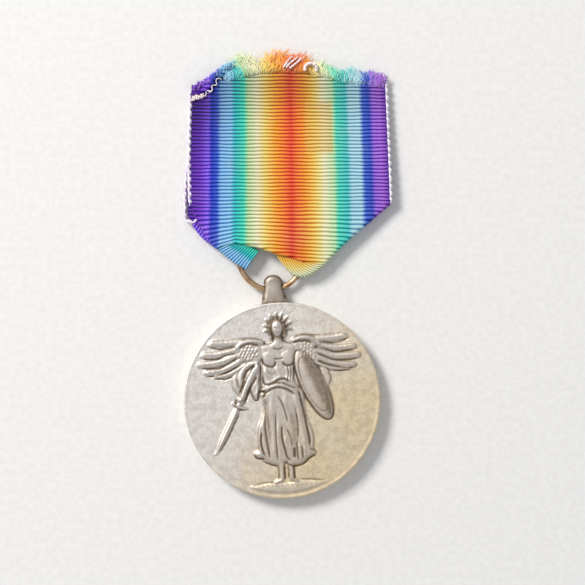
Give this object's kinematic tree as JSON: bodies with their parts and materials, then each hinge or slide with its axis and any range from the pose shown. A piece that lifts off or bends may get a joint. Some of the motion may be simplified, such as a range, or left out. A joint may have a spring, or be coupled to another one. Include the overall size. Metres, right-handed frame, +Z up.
{
  "type": "service medal",
  "caption": "Round bronze medal with a winged figure in relief, hung by a lug and wire ring from a rainbow-striped ribbon folded to a point; it lies flat, ring and medal turn.",
  "frame": {"origin": "middle of the bounding box's base: the surface that the medal lies on", "axes": "+Z up out of the obverse, +Y from the medallion to the top of the ribbon, +X to the right as the medal is read"},
  "size_m": [0.0382, 0.0834, 0.0034],
  "materials": {
    "medal_bronze": "struck bronze, toned pale gold field with brown in the recesses",
    "lug_bronze": "rubbed bronze, satin",
    "ring_wire": "drawn bronze wire, semi-gloss",
    "ribbon_silk": "ribbed silk in rainbow stripes, soft sheen",
    "selvedge_yarn": "white looped edge yarn",
    "sewing_thread": "white twisted sewing thread"
  },
  "bodies": {
    "ribbon": {"ribbon_back_panel": "ribbon_silk", "ribbon_front_panel": "ribbon_silk", "ribbon_side_fold_left": "ribbon_silk", "ribbon_side_fold_right": "ribbon_silk", "ribbon_ring_bend": "ribbon_silk", "ribbon_front_pleat": "ribbon_silk", "selvedge_yarn_front_left": "selvedge_yarn", "selvedge_yarn_front_right": "selvedge_yarn", "selvedge_yarn_back_left": "selvedge_yarn", "selvedge_yarn_back_right": "selvedge_yarn", "frayed_end_front": "ribbon_silk", "frayed_end_back": "ribbon_silk", "stitch_end_1": "sewing_thread", "stitch_end_2": "sewing_thread", "stitch_end_3": "sewing_thread", "loose_thread_loop": "sewing_thread", "loose_thread_curl": "sewing_thread"},
    "ring": {"suspension_ring": "ring_wire"},
    "medallion": {"medal_disc": "medal_bronze", "suspension_lug": "lug_bronze", "lug_solder_collar": "lug_bronze"}
  },
  "joints": [
    {"name": "ring_turn", "type": "hinge", "parent": "ribbon", "child": "ring", "pos_m": [-0.00295, 0.00256, 0.00145], "axis": [0, 0, 1], "range_deg": [-44, 18]},
    {"name": "medal_tip", "type": "hinge", "parent": "ring", "child": "medallion", "pos_m": [-0.00251, -0.00312, 0.00145], "axis": [-0.9971, -0.0767, 0], "range_deg": [0, 120]}
  ]
}
